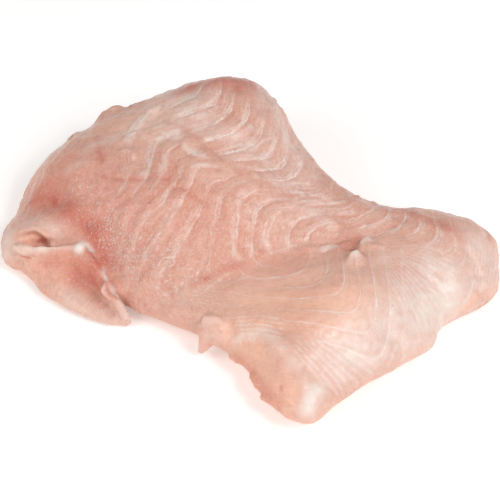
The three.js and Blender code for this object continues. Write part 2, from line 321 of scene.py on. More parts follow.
soft_share = np.maximum(painted(SOFTENED), smoothstep(normals_at(points)[:, 1], *FACING_BACK))
soft_share *= np.clip(1 - painted(KEPT_SHARP), 0, 1)
soft_share[on_floor] = 0
softened = fillet.vertex_groups.new(name="softened")
for index in np.flatnonzero(soft_share > LEAST_SHARE):
    softened.add([int(index)], min(float(soft_share[index]), 1), "REPLACE")
relax = fillet.modifiers.new("relax", "SMOOTH")
relax.vertex_group = softened.name
relax.factor = SMOOTH_FACTOR
relax.iterations = SOFT_STEPS
relaxed = plain_mesh(fillet)
fillet.modifiers.clear()
fillet.vertex_groups.clear()
moved = rows_of(relaxed.vertices, "co") / MM
print("the skin moved by up to", round(float(np.linalg.norm(moved - points, axis=1).max()), 2), "mm")
points = moved
normals = normals_at(points)

# %% [markdown]
# ## Flakes
# Fish muscle is built of thin leaves, and where a cut passes through them their edges show as curved white
# lines, a few millimetres apart. Four stretches of muscle show here: the upper one on the loin with lines
# like a J, the tail that carries it on, the middle one with steep lines that fan out, and the front lobe with
# J lines again. Lines could be drawn one by one, but then none would run on behind the fillet. So each
# stretch gets a field of flake numbers over the plan, with whole numbers on the lines. The field is then
# bent, so that its lines pass through the lines that the photograph shows.

# %% Flake numbers over the plan
# In mm, but for steps, leans and slopes. The shift goes from the plan of the lines to the frame's origin.
PART_SHIFT = np.array([0.9, -5.47])
SEAM = [(-60, 58), (-38, 45), (-25, 36), (-9, 19.5), (4, 17), (28, 8.5), (41, 1), (75, -14)]
CREASE = [(-20, -16), (-11, -11), (9, -5), (29, -2.6), (41, 1), (75, -14)]
TAIL_X = 26
UPPER_FIRST_X = -16
UPPER_WIDTH = 5.2
UPPER_LEAN = 0.2
UPPER_STEPS = [(-52, 0), (-26, 4), (13, 15), (23, 17)]
MIDDLE_WIDTH = 6.3
MIDDLE_LEAN = 0.55
MIDDLE_LEAN_TOP = 18
MIDDLE_LEAN_X = -2
MIDDLE_FAN = 18
MIDDLE_BEND = 0.07
MIDDLE_BEND_DEPTH = 15
FRONT_FIRST_X = 27.5
FRONT_WIDTH = 5.1
FRONT_FIRST_Y = -25
FRONT_HEIGHT = 5.8
FRONT_SLOPE = 0.33
FRONT_MIDDLE_X = 20
CORNER_BLEND = 1.5                        # flakes


def value_at(line, where):
    """The value of a line of pairs, carried straight on past its ends."""
    places, values = np.array(line, float).T
    step = np.clip(np.searchsorted(places, where), 1, len(places) - 1)
    slope = (values[step] - values[step - 1]) / (places[step] - places[step - 1])
    return values[step - 1] + slope * (where - places[step - 1])


def bent(across, down):
    """Two sets of lines joined by round bends, and the way along the lines."""
    return 0.5 * (across + down + np.hypot(across - down, CORNER_BLEND)), across - down


def upper_flakes(x, y):
    """J lines: steep at the back and level towards the middle."""
    return bent((x - UPPER_FIRST_X) / UPPER_WIDTH, value_at(UPPER_STEPS, UPPER_LEAN * x - y))


def middle_flakes(x, y):
    """Steep lines that lean more and more to the left and bend over at the seam."""
    full_lean = MIDDLE_LEAN * np.maximum(MIDDLE_LEAN_TOP - y, 0)
    lean = full_lean * np.clip((MIDDLE_LEAN_X - x) / (MIDDLE_FAN + full_lean), 0, 1)
    bend = MIDDLE_BEND * np.maximum(MIDDLE_BEND_DEPTH - (value_at(SEAM, x) - y), 0) ** 2
    return (x + lean - bend) / MIDDLE_WIDTH, y / MIDDLE_WIDTH


def front_flakes(x, y):
    """J lines of the front lobe, level towards its tip."""
    down = (FRONT_FIRST_Y - y - FRONT_SLOPE * (x - FRONT_MIDDLE_X)) / FRONT_HEIGHT
    return bent((x - FRONT_FIRST_X) / FRONT_WIDTH, down)


plan_x, plan_y = (points[:, :2] - PART_SHIFT).T
to_seam = plan_y - value_at(SEAM, plan_x)
to_crease = plan_y - value_at(CREASE, plan_x)
in_upper = (to_seam > 0) & (plan_x < TAIL_X)
in_tail = (to_seam > 0) & (plan_x >= TAIL_X)
in_front = (to_crease < 0) & ~in_tail & ~in_upper
in_middle = ~(in_upper | in_tail | in_front)
in_each = {"upper": in_upper, "tail": in_tail, "middle": in_middle, "front": in_front}
print("points of each muscle:", {name: int(inside.sum()) for name, inside in in_each.items()})

# %% Lines that show
# Pixels along each line, from the first flake to the last.
UPPER_LINES = [
    [(201, 92), (195, 97), (185, 101), (172, 106)],
    [(222, 95), (218, 103), (208, 109), (196, 114), (182, 113)],
    [(234, 96), (233, 106), (230, 115), (222, 120), (212, 126), (199, 128)],
    [(251, 108), (248, 120), (240, 131), (228, 137), (210, 140)],
    [(266, 130), (258, 142), (250, 147), (240, 151), (229, 152)],
    [(278, 143), (275, 152), (268, 157), (255, 160), (233, 160)],
    [(290, 152), (287, 161), (280, 168), (268, 171), (250, 173)],
    [(302, 169), (293, 178), (283, 181), (266, 181)],
]
TAIL_LINES = [
    [(377, 205), (372, 209), (364, 213), (350, 216)],
    [(388, 211), (381, 219), (370, 224), (358, 226)],
    [(402, 213), (404, 218), (398, 223), (390, 229), (376, 235)],
    [(419, 221), (417, 230), (410, 235), (400, 237), (388, 238)],
    [(430, 221), (437, 230), (437, 238), (432, 243), (420, 245), (405, 246)],
]
MIDDLE_LINES = [
    [(171, 150), (170, 160), (167, 168), (160, 178)],
    [(184, 171), (178, 180), (174, 187), (166, 198), (153, 210), (136, 230)],
    [(205, 164), (198, 172), (194, 178), (192, 186), (189, 195), (176, 214), (160, 236), (144, 258)],
    [(214, 182), (209, 188), (207, 197), (204, 206), (192, 226), (178, 248), (160, 272)],
    [(241, 183), (234, 190), (226, 195), (221, 203), (220, 220), (217, 238), (213, 258), (196, 282)],
    [(246, 190), (239, 200), (238, 220), (237, 240), (238, 257)],
    [(280, 201), (262, 207), (255, 218), (255, 238), (251, 254)],
    [(282, 212), (272, 220), (270, 235), (264, 250)],
    [(318, 218), (300, 219), (291, 226), (288, 236), (290, 243)],
    [(330, 221), (318, 223), (312, 231), (310, 241)],
]
FRONT_LINES = [
    [(309, 262), (305, 268), (295, 272), (283, 276), (265, 279)],
    [(327, 264), (327, 273), (322, 280), (312, 284), (300, 288), (280, 287)],
    [(344, 262), (345, 280), (343, 288), (337, 294), (322, 297), (300, 298)],
    [(354, 261), (360, 272), (362, 287), (361, 301), (355, 309), (340, 312), (318, 310)],
    [(367, 262), (373, 285), (378, 306), (378, 322), (370, 333), (345, 331), (320, 325), (303, 322)],
    [(387, 275), (390, 300), (390, 325), (387, 343), (375, 353), (355, 350), (338, 343), (322, 339)],
]
print("lines that show:", sum(map(len, (UPPER_LINES, TAIL_LINES, MIDDLE_LINES, FRONT_LINES))))

# %% Bend the fields to these lines
BEND_REACH = 6                            # mm, how far a line that shows bends the field
BEND_FLOOR = 0.3                          # how soon the bending fades beyond that
SHOWN_REACH = 3.4                         # mm, how far from such a line the lines are at their clearest
LINES_FAINT = 0.25                        # strength of the lines where none shows
LINES_START = (-66, -40)                  # mm along the fillet, where the lines fade in
BORDER_FADE = (0.5, 3.0)                  # mm, from no lines on a border of two muscles to all
STEEP_FADE = (0.1, 0.45)                  # upward part of the normal, from no lines on steep slopes to all
STRAND_RISE = 5                           # mm, a slope this high has strands as long as one flake


def bent_to(lines, field, inside):
    """Flake number, way along and clearness for the points of one muscle."""
    places, misses = [], []
    first = None
    for order, pixels in enumerate(lines):
        path = traced(pixels)
        numbers = field(*(path[:, :2] - PART_SHIFT).T)[0]
        first = round(numbers.mean()) if first is None else first
        places.append(path)
        misses.append(first + order - numbers)
    places, misses = np.concatenate(places), np.concatenate(misses)
    away = np.linalg.norm(points[inside][:, None] - places[None], axis=2)
    pull = np.exp(-(away / BEND_REACH) ** 2)
    number, along = field(plan_x[inside], plan_y[inside])
    number = number + pull @ misses / (pull.sum(axis=1) + BEND_FLOOR)
    return number, along, np.exp(-(away.min(axis=1) / SHOWN_REACH) ** 2)


flake_number, flake_along, clearness, feather = np.zeros((4, len(points)))
# For each muscle its field, its lines and its pale side. From 0 to 1, how far its lines feather out and how
# clear they are.
MUSCLES = {
    "upper": (upper_flakes, UPPER_LINES, 1, 1.0, 1.0),
    "tail": (upper_flakes, TAIL_LINES, -1, 0.85, 1.0),
    "middle": (middle_flakes, MIDDLE_LINES, 1, 0.9, 0.7),
    "front": (front_flakes, FRONT_LINES, -1, 0.4, 1.0),
}
for name, (field, lines, pale_side, feathering, clear) in MUSCLES.items():
    inside = in_each[name]
    number, along, shown = bent_to(lines, field, inside)
    flake_number[inside] = pale_side * number
    flake_along[inside] = along + points[inside, 2] / STRAND_RISE
    clearness[inside] = clear * shown
    feather[inside] = feathering
    print(name, "muscle has", len(lines), "lines that show and", round(np.ptp(number), 1), "flakes")
to_border = np.minimum(np.abs(to_seam), np.abs(to_crease))
to_border = np.minimum(to_border, np.where(to_seam > 0, np.abs(plan_x - TAIL_X), np.inf))
lines_shown = LINES_FAINT + (1 - LINES_FAINT) * clearness
lines_shown *= smoothstep(plan_x, *LINES_START) * smoothstep(to_border, *BORDER_FADE)
lines_shown *= smoothstep(normals[:, 2], *STEEP_FADE)

# %% [markdown]
# ## Colour zones by strokes
# Raw flesh isn't one colour: it is redder in places and thick leaf ends turn pale. Some tints are painted
# light as well: darker red as shade in folds and hollows and on the far rim, amber as the glow of light
# through thin flesh and to lighten flesh in shade, pale patches as highlights, and pale flecks as glints.
# A painted picture could carry this, but only for one view. So each such place is a stroke with a reach and a
# strength, laid on the flesh.

# %% Blush where the flesh is redder, and painted shade in folds, hollows and on the far rim


def tell(name, field):
    """Prints how strong the strokes of one kind are."""
    print(name, "has a mean of", round(float(field.mean()), 3), "and a peak of", round(float(field.max()), 2))


TAG = [(206, 320), (218, 322), (219, 334)]
HOLLOW_WALL = [(24, 239), (34, 234), (44, 236)]
BLUSH_AND_SHADE = {
    # Painted shade: the belly shoulder, the fold valley and the flap hollow lie in concave shade behind the
    # curl and under the flap.
    "belly shoulder": (6, 0.52, [(28, 203), (45, 199), (65, 206)]),
    "shoulder spot": (2, 0.5, [(54, 203)]),
    "fold valley top": (5, 0.6, [(72, 213), (86, 220), (96, 230)]),
    "fold valley": (4.5, 0.6, [(93, 232), (99, 246), (107, 260)]),
    "flap hollow": (4.5, 0.75, [(78, 280), (92, 283), (107, 287)]),
    "flap top": (5, 0.55, [(50, 262), (72, 263), (92, 266)]),
    # Painted shade in the hollow's floor, along the crease, and in the pit and the slit by the crumbs.
    "hollow floor": (1.2, 1.0, [(39, 241), (45, 240)]),
    "crease": (1.6, 0.35, [(195, 286), (208, 277), (222, 270), (240, 264)]),
    "cavity": (1.8, 0.3, [(339, 255), (345, 250), (352, 244), (360, 238)]),
    "crumb slit": (1.5, 0.5, [(337, 252, 1.6), (344, 250, 2.0), (350, 246, 2.0), (358, 243, 1.4)]),
    "tag": (4, 0.12, TAG),
    # Painted shade under the lip's roll and on the hollow's wall.
    "lip crease": (0.8, 1.1, [(15, 252), (19, 256), (29, 258)]),
    "hollow wall": (1.8, 0.12, HOLLOW_WALL),
    "left rim": (9, 0.14, [(32, 190), (50, 168), (80, 150)]),
    "saddle": (8, 0.16, [(285, 190), (310, 197), (335, 205)]),
    "left flank": (14, 0.36, [(50, 185), (70, 165), (95, 160), (115, 215), (122, 255)]),
    # Painted shade on the upper rim and along the tail's back, which face away from the lamps.
    "upper rim": (5, 0.85, [(180, 89), (205, 85), (232, 82), (246, 88)]),
    "upper rim low": (3, 0.3, [(236, 92), (250, 98), (262, 112), (272, 128)]),
    "tail back": (3, 0.6, [(390, 206), (415, 209), (433, 218), (446, 225), (456, 234)]),
    "front crease side": (6, 0.16, [(230, 276), (262, 266), (290, 262), (318, 258)]),
    "cut face spot": (0.8, 0.5, [(281, 387), (282, 390)]),
    "cut face low": (3, 0.45, [(240, 362), (255, 378), (262, 392), (276, 402)]),
    "back spot": (1, 0.5, [(306, 178)]),
    "seam slit": (0.8, 0.7, [(175, 148), (182, 145)]),
    "middle blush": (5, 0.22, [(158, 150), (166, 170), (182, 192)]),
    "middle blush low": (9, 0.2, [(200, 215), (232, 225), (234, 245)]),
    "crease specks": (0.6, 0.7, [(205, 279), (208, 279)]),
    "tail streak shade": (0.9, 0.5, [(415, 265), (425, 276), (437, 285)]),
    "tail streak shade low": (0.8, 0.5, [(427, 290), (438, 297)]),
}
blush_and_shade = painted(BLUSH_AND_SHADE)
tell("blush_and_shade", blush_and_shade)

# %% Shallow folds across the flesh
# Reach and depth in mm, blush, which is a darker pink painted along the fold as shade in its crease, and the
# pixels that the fold passes.
FOLDS = {
    "across": (1.0, 0.35, 0.34, [(104, 176), (111, 178), (128, 181), (146, 178), (168, 178)]),
    "across right": (1.0, 0.35, 0.34, [(172, 189), (182, 188), (188, 192), (200, 200)]),
    "left": (1.0, 0.3, 0.4, [(97, 136), (98, 148), (102, 160)]),
    "left low": (1.0, 0.35, 0.34, [(120, 205), (135, 192), (146, 178)]),
    "left far": (1.0, 0.35, 0.34, [(150, 202), (162, 190), (170, 178), (178, 160)]),
    "seam": (1.0, 0.3, 0.34, [(163, 120), (180, 124), (190, 133), (200, 137)]),
    "seam low": (1.0, 0.3, 0.3, [(203, 145), (216, 152), (222, 158)]),
    "foot first": (1.5, 0.4, 0.2, [(150, 195), (138, 212), (129, 228)]),
    "foot second": (1.5, 0.5, 0.2, [(174, 207), (153, 231), (132, 261)]),
    "foot third": (1.6, 0.5, 0.2, [(189, 210), (171, 240), (150, 264), (135, 282)]),
    "foot fourth": (1.5, 0.4, 0.2, [(198, 222), (189, 249), (165, 282)]),
    "foot fifth": (1.4, 0.35, 0.2, [(219, 207), (216, 237), (210, 261), (192, 282)]),
}
blush_and_shade += painted({name: (reach, tint, pixels) for name, (reach, _, tint, pixels) in FOLDS.items()})
folds = painted({name: (reach, depth, pixels) for name, (reach, depth, _, pixels) in FOLDS.items()})
tell("depth of the folds", folds)

# %% Amber, where the flesh is thin: a painted glow of light through it, and painted light on flesh in shade
AMBER_AND_GLOW = {
    "cut face": (8, 0.8, [(250, 352), (266, 372), (284, 398)]),
    # Painted light: amber lightens the front lobe, which lies in half shade.
    "front lobe": (13, 0.75, [(250, 300), (300, 285), (345, 300)]),
    "front foot": (7, 0.4, [(270, 318), (310, 318), (345, 325)]),
    "edge gap": (1.5, 0.8, [(109, 275), (114, 285)]),
    "front bend": (3, 0.6, [(346, 308), (356, 300)]),
    "flap top": (6, 0.6, [(40, 264), (70, 264), (94, 266)]),
    "flap valley": (5, 0.6, [(70, 276), (90, 282), (104, 288)]),
    # Painted light: amber lightens the hollow's wall, though it lies in shade.
    "hollow wall": (2.2, 1.0, HOLLOW_WALL),
    "lip crease": (0.9, 0.9, [(13, 248), (17, 255), (30, 259)]),
    "tail crease": (1.6, 0.9, [(460, 314), (468, 307), (475, 297)]),
    "middle": (16, 0.15, [(205, 225), (225, 245)]),
    "tag foot": (2, 0.7, [(227, 328), (226, 340)]),
    "flap slit": (1.2, 0.9, [(116, 280), (121, 291)]),
    "left rim": (12, 0.6, [(32, 190), (50, 168), (80, 150), (120, 130), (150, 120)]),
}
amber_and_glow = painted(AMBER_AND_GLOW)
tell("amber_and_glow", amber_and_glow)

# %% Pallor, on leaf ends and thick places, and painted highlights and light on the front lobe, the tail's dome and the cut ridge
PALLOR_AND_HIGHLIGHTS = {
    "nose ring": (2.8, 0.32, [(5, 252), (6, 240), (15, 229), (30, 223), (50, 227), (58, 236)]),
    "lip": (2.6, 0.65, [(15, 248), (28, 248), (42, 248)]),
    "lip right": (1.6, 0.35, [(45, 247), (72, 246)]),
    "lip bead": (1.6, 1.3, [(79, 249), (82, 245)]),
    # Painted light: the front lobe's upper part is lightened, as it lies in half shade.
    "front upper": (10, 0.1, [(240, 292), (300, 270), (350, 268)]),
    "front right": (13, 0.6, [(360, 340), (385, 335), (415, 325), (440, 300)]),
    # Painted highlight on the tail's dome.
    "tail bright": (7, 0.28, [(438, 260), (450, 270), (456, 290)]),
    "tail end": (8, 0.5, [(478, 245), (488, 270)]),
    "tail front": (10, 0.2, [(400, 300), (420, 305), (440, 310)]),
    # Painted highlights: a broad sheen along the cut ridge.
    "cut ridge": (1.8, 0.2, [(262, 337), (278, 342), (285, 352), (299, 372), (308, 388)]),
    "cut ridge high": (2.2, 0.25, [(234, 340), (248, 334), (264, 335), (276, 341)]),
    "fan": (7, 0.22, [(300, 362), (325, 372), (350, 362)]),
    "upper crumb": (2.2, 0.8, [(366, 246, 2.6), (370, 241, 2.0)]),
    "lower crumb": (2.2, 0.8, [(351, 261, 3.4), (358, 257, 3.6)]),
    "nose": (4, 0.3, [(6, 252), (8, 240)]),
    "crease leaf": (1.6, 0.6, [(322, 251, 1.4), (334, 252, 1.6)]),
    "edge knuckle": (2.0, 0.5, [(105, 287, 2.4), (106, 294, 2.4)]),
    "edge strip": (1.7, 0.5, [(116, 304, 2.2), (121, 312, 2.0), (128, 321, 1.2)]),
    "tip": (3.2, 0.85, [(307, 412), (310, 400), (316, 391)]),
    "tag": (3.2, 0.18, TAG),
    "flap foot": (4.5, 0.35, [(68, 298), (92, 311), (112, 322)]),
    "flap edge": (1.1, 0.8, [(88, 246), (104, 272), (111, 288), (121, 308), (130, 320)]),
    "leaf end first": (1.1, 0.3, [(234, 252), (238, 258)]),
    "leaf end second": (1.1, 0.3, [(250, 246), (253, 253)]),
    "leaf end third": (1.2, 0.35, [(264, 240), (268, 248)]),
    "leaf end fourth": (1.2, 0.35, [(286, 236), (289, 243)]),
    "saddle leaf": (2.5, 0.3, [(290, 205), (312, 212), (330, 225)]),
    "arc belly": (4, 0.25, [(205, 122), (232, 133), (255, 150), (268, 165)]),
    "upper left": (9, 0.35, [(140, 128), (165, 125), (188, 118)]),
    "upper rim": (5, 0.3, [(158, 102), (178, 98), (200, 96)]),
    "ridge right": (8, 0.3, [(262, 102), (276, 122), (292, 155), (304, 172)]),
    "left wisp": (3, 0.35, [(84, 150), (96, 142), (110, 139)]),
    "left wisp low": (2.4, 0.3, [(70, 168), (84, 162)]),
}
pallor_and_highlights = painted(PALLOR_AND_HIGHLIGHTS)
tell("pallor_and_highlights", pallor_and_highlights)

# %% [markdown]
# ## Leaves and fans
# Some leaves lie bare on the flesh, as pale tiles with a firm edge, and some edges stand out on their own,
# such as the streaks on the tail. They are strokes too, only thinner. Where many fine edges lie side by side,
# as at the tip, strokes would run together: there the edges are numbered like the flakes, and the material
# draws them.

# %% Leaves and their edges
LEAVES = {
    "rim": (1.6, 0.8, [(150, 112), (157, 108)]),
    "wedge": (1.7, 0.7, [(128, 139), (132, 128), (142, 117)]),
    "wedge side": (1.2, 0.5, [(133, 134), (141, 124), (146, 116)]),
    "seam": (1.2, 0.8, [(158, 139), (168, 134), (178, 131)]),
    "seam middle": (1.0, 0.8, [(172, 138), (182, 136)]),
    "seam low": (1.3, 0.7, [(184, 146), (192, 152), (203, 155)]),
    "left tile": (1.8, 0.4, [(152, 146), (148, 162), (145, 174)]),
    "middle tile": (1.8, 0.4, [(166, 156), (162, 170)]),
    "tip": (2.6, 0.3, [(305, 409), (309, 398)]),
    "tip high": (2.2, 0.3, [(311, 398), (317, 389)]),
    "ridge end": (1.8, 0.3, [(234, 342), (242, 337), (252, 338)]),
    "tag": (3.4, 0.25, TAG),
    "tag leg": (2.2, 0.25, [(206, 335), (201, 350)]),
}
LEAF_EDGES = {
    "left line": (0.5, 0.6, [(159, 137), (153, 153), (148, 170), (144, 181), (132, 196)]),
    "left line far": (0.5, 0.5, [(134, 158), (130, 172), (125, 184), (112, 200)]),
    "wedge edge": (0.5, 0.6, [(146, 115), (138, 126), (132, 141)]),
    "tail streak": (0.55, 0.9, [(413, 263), (424, 271), (435, 279), (444, 290), (449, 304)]),
    "tail streak high": (0.55, 0.7, [(426, 262), (440, 271), (456, 284)]),
    "tail streak low": (0.5, 0.7, [(428, 288), (440, 296), (447, 306)]),
    "tail leaf": (0.5, 0.6, [(441, 229), (443, 236)]),
    "tail leaf right": (0.5, 0.5, [(451, 233), (456, 241), (455, 250)]),
    "tail fold": (0.6, 0.6, [(462, 306), (471, 293), (476, 280)]),
    "edge leaf": (0.5, 0.6, [(397, 345), (393, 354), (386, 366)]),
    "edge leaf right": (0.5, 0.4, [(408, 342), (404, 352), (398, 361)]),
    "curl": (0.6, 0.9, [(121, 151), (128, 150), (133, 153), (134, 158)]),
    "saddle wisp first": (0.7, 0.7, [(255, 176), (272, 182), (290, 185), (308, 184)]),
    "saddle wisp second": (0.8, 0.7, [(278, 190), (300, 193), (324, 197)]),
    "saddle wisp third": (0.8, 0.6, [(296, 200), (320, 204), (344, 203)]),
    "saddle wisp fourth": (0.7, 0.6, [(312, 211), (332, 213), (352, 211)]),
    "arc wisp": (0.8, 0.7, [(206, 139), (224, 139), (240, 134), (250, 126)]),
    "arc wisp low": (0.8, 0.7, [(228, 152), (246, 151), (258, 146), (266, 138)]),
    "arc wisp high": (0.7, 0.6, [(192, 116), (206, 113), (218, 106)]),
    "seam stroke": (0.6, 0.7, [(192, 167), (203, 164), (215, 166)]),
    "seam stroke low": (0.6, 0.6, [(190, 150), (197, 157), (210, 158)]),
    "crease stroke": (0.5, 0.6, [(205, 290), (216, 282), (230, 273)]),
    "crease stroke low": (0.5, 0.5, [(222, 287), (236, 281), (250, 277)]),
    "crease rim": (0.5, 0.6, [(262, 256), (280, 250), (296, 245)]),
}
LEAF_HARDNESS = 8
leaf_edges = painted(LEAF_EDGES) + painted(LEAVES, LEAF_HARDNESS)
tell("leaf edges", leaf_edges)

# %% Fans of fine leaf edges
# How far around an edge the fan shows, strength, how many edges, and the pixels of the first and the last.
FANS = {
    "tail flow": (1.6, 0.6, 13, [(376, 249), (420, 247), (462, 268)], [(384, 268), (406, 300), (418, 338)]),
    "tail end": (1.4, 0.5, 8, [(468, 238), (473, 262), (470, 288)], [(492, 248), (495, 266), (490, 288)]),
    "tip": (2.2, 0.65, 8, [(294, 350), (314, 372), (330, 396)], [(326, 335), (350, 350), (376, 366)]),
    "ridge": (1.2, 0.9, 5, [(234, 318), (256, 316), (286, 319)], [(236, 333), (256, 333), (282, 338)]),
    "saddle": (1.4, 0.5, 8, [(262, 174), (290, 183), (312, 184)], [(312, 214), (334, 215), (356, 213)]),
    "ridge slope": (1.4, 0.45, 6, [(256, 92), (272, 116), (280, 138)], [(276, 106), (288, 136), (302, 164)]),
}
FAN_SEED = 5
FAN_JITTER = 0.3                          # of the way to the next edge
FAN_STRAY = 1.6                           # pixels, how far an edge strays from its even place
FAN_CUT = 0.35                            # up to this share of it is missing at each end
FAN_STRENGTHS = (0.5, 1)                  # weakest and strongest edge


def fan_strokes(reach, strength, count, first, last):
    """Where a fan shows: strokes spread from its first edge to its last, none of them quite regular."""
    chance = random.Random(FAN_SEED)
    strokes = {}
    for place in range(count):
        share = (place + chance.uniform(-FAN_JITTER, FAN_JITTER)) / (count - 1)
        corners = (1 - share) * np.array(first, float) + share * np.array(last, float)
        corners += [[chance.gauss(0, FAN_STRAY), chance.gauss(0, FAN_STRAY)] for _ in corners]
        corners[0] += chance.uniform(0, FAN_CUT) * (corners[1] - corners[0])
        corners[-1] += chance.uniform(0, FAN_CUT) * (corners[-2] - corners[-1])
        clear = strength * chance.uniform(*FAN_STRENGTHS)
        strokes[place] = (reach, clear, [tuple(corner) for corner in corners])
    return strokes


fan_number, fan_shown = np.zeros((2, len(points)))
for reach, strength, count, first, last in FANS.values():
    shown_here = painted(fan_strokes(reach, strength, count, first, last))
    here = shown_here > fan_shown
    to_first, to_last = (distance_to_path(points[here], traced(line)) for line in (first, last))
    fan_number[here] = (count - 1) * to_first / (to_first + to_last)
    fan_shown[here] = np.minimum(shown_here[here], strength)
tell("fans", fan_shown)

# %% Where no flakes show
NO_LINES = {
    "cut face": (8, 1.2, [(238, 345), (262, 368), (285, 398), (298, 415)]),
    "tip": (9, 0.9, [(305, 380), (330, 375)]),
    "tail end": (9, 0.8, [(480, 240), (485, 275)]),
    "middle foot": (10, 0.5, [(130, 240), (148, 268), (190, 282)]),
}
lines_shown *= np.clip(1 - painted(NO_LINES), 0, 1)
tell("flake lines", lines_shown)

# %% [markdown]
# ## Swells and wetness
# Soft flesh bulges between its folds, and a torn rim has small bumps. They are too small for the solid's
# facets, so they are strokes as well, with a height in millimetres. Wetness strokes say where the flesh was
# rubbed: there it glistens and has torn fibres.

# %% Swells and bumps
# Reach and height in mm: the outline of the flesh is moved out, or in, to where the photograph has it.
SWELLS = {
    "ridge shoulder": (8, 1.6, [(236, 82), (250, 84), (262, 92), (274, 105), (282, 116)]),
    "rim step": (3.5, 1.8, [(103, 118), (110, 114), (117, 112)]),
    "back slope": (5, -2.0, [(291, 132), (299, 145)]),
    "tail top": (7, -2.0, [(394, 211), (410, 212), (426, 212)]),
    "tail corner": (4, 1.4, [(493, 243), (497, 257)]),
    "tail front": (6, 1.4, [(394, 364), (410, 356), (426, 347)]),
    "belly shoulder": (5, -1.6, [(17, 207), (23, 197), (29, 187)]),
    "tail fold": (1.5, -0.7, [(468, 250), (476, 266), (478, 286), (470, 303), (461, 314)]),
    "tail dome": (7, 0.7, [(446, 266), (455, 290)]),
    "crease pit": (5, 1.2, [(338, 254), (348, 250), (356, 246)]),
    "crease right": (5, 0.9, [(285, 262), (305, 258), (325, 255)]),
    "hollow": (2.2, 1.5, [(24, 240), (32, 236), (38, 238)]),
}
# The back rim is torn into small bumps, with their reach and height in mm.
RIM_BUMPS = [
    (264, 89), (274, 101), (281, 111), (288, 126), (296, 139), (303, 149), (312, 160), (322, 172), (334, 183),
    (345, 191), (358, 197), (374, 203),
]
BUMP_REACH = 1.4
BUMP_HEIGHT = 0.8
swell = painted(SWELLS) + painted({pixel: (BUMP_REACH, BUMP_HEIGHT, [pixel]) for pixel in RIM_BUMPS})
tell("height of the swells", swell)

# %% Wetness, where the flesh was rubbed
# Wetness also sets where glints are painted into the flesh's colour.
WETNESS = {
    "fold": (8, 0.45, [(82, 190), (100, 210), (114, 238)]),
    "fold low": (6, 1.0, [(110, 228), (118, 245), (128, 262)]),
    "middle foot": (9, 0.6, [(145, 250), (165, 270), (190, 288)]),
    "tag side": (6, 0.5, [(200, 300), (230, 315), (262, 322)]),
    "flap foot": (6, 0.4, [(70, 296), (100, 310)]),
    "middle": (22, 0.25, [(170, 200), (230, 230)]),
    "saddle": (14, 0.3, [(280, 195), (320, 205), (345, 215)]),
    "front right": (14, 0.35, [(380, 310), (400, 300)]),
    "tail flow": (10, 0.3, [(392, 262), (430, 258), (446, 280)]),
}
wetness = painted(WETNESS)
tell("wetness", wetness)

# %% [markdown]
# ## Relief
# The flakes stand a little proud of the lines between them, and flesh is never even: it has soft lumps the
# width of a finger tip and a finer grain. The relief moves the skin's points along their normals, because
# shapes that show belong in the mesh and not only in the material.

# %% Flake grooves and lumps
GROOVE_DEPTH = 0.18                       # mm
GROOVE_SHARE = 0.13                       # of a flake's width
EDGE_LIFT = 0.12                          # mm, single leaf edges stand proud
LUMPS = [(14, 0.9), (6, 0.55), (2.6, 0.3)]   # size and height of each kind, in mm
SMOOTHEST = 0.3                           # share of the lumps where the flakes don't feather out at all

relief = np.zeros(len(points))
for size, height in LUMPS:
    relief += height * np.array([noise.noise(Vector(point) / size) for point in points])
relief *= SMOOTHEST + (1 - SMOOTHEST) * feather
relief += swell - folds
to_line = np.abs(flake_number - np.round(flake_number))
relief -= GROOVE_DEPTH * lines_shown * np.exp(-(to_line / GROOVE_SHARE) ** 2)
relief += EDGE_LIFT * leaf_edges
relief[on_floor] = 0
shaped = points + relief[:, None] * normals
shaped[:, 2] = np.maximum(shaped[:, 2], 0)
normals_at(shaped)
print("relief from", round(float(relief.min()), 2), "to", round(float(relief.max()), 2), "mm")

# %% [markdown]
# ## What the material can read
# A material can't see flake numbers or strokes, so they are stored on the skin's points as attributes, three
# to a vector. A picture would need a flat map of the skin, and would show its pixels close up. A field that
# changes smoothly can be stored coarsely, and the material still draws a hair-thin line from it.

# %% Store the fields on the skin
FIELDS = {
    "flakes": (flake_number, flake_along, lines_shown),
    "tints": (blush_and_shade, amber_and_glow, pallor_and_highlights),
    "finish": (wetness, leaf_edges, feather),
    "fans": (fan_number, fan_shown, np.zeros(len(points))),   # two numbers are enough here
}
for name, parts in FIELDS.items():
    attribute = skin.attributes.new(name, "FLOAT_VECTOR", "POINT")
    attribute.data.foreach_set("vector", np.stack(parts, axis=1).astype(np.float32).ravel())
print("stored", ", ".join(FIELDS))

# %% [markdown]
# ## Flesh
# The material is raw white fish muscle, cut by a knife and wet. Light goes a few millimetres in and comes
# back warm, the surface has a film of water that glints, and the leaves' edges are white because connective
# tissue scatters more. Each leaf is palest just before its edge, and the next one starts pinker.

# %% Raw fish muscle, knife-cut and wet
FLESH = "#e0b3a1"
FLESH_DEEP = "#d5a08d"
FLESH_SHADE = "#c4846f"
FLESH_PALE = "#e7dad1"
BLUSH_RED = "#c8705d"
BLOOD_AND_SHADE_RED = "#93331c"
AMBER_GLOW = "#f0ba9f"
LINE_WHITE = "#efe3dc"


def linear(hex_colour):
    """A colour written as sRGB hex, as the linear numbers that shaders use."""
    parts = [int(hex_colour[i:i + 2], 16) / 255 for i in (1, 3, 5)]
    return tuple(c / 12.92 if c <= 0.04045 else ((c + 0.055) / 1.055) ** 2.4 for c in parts) + (1,)


def add(tree, kind, inputs=(), out=0, **settings):
    """Adds a node with its settings, sets or links its inputs by name or place, and gives one output."""
    made = tree.nodes.new(kind)
    for name, value in settings.items():
        setattr(made, name, value)
    for key, value in inputs.items() if isinstance(inputs, dict) else enumerate(inputs):
        if isinstance(value, bpy.types.NodeSocket):
            tree.links.new(value, made.inputs[key])
        else:
            made.inputs[key].default_value = value
    return made.outputs[out] if made.outputs else None


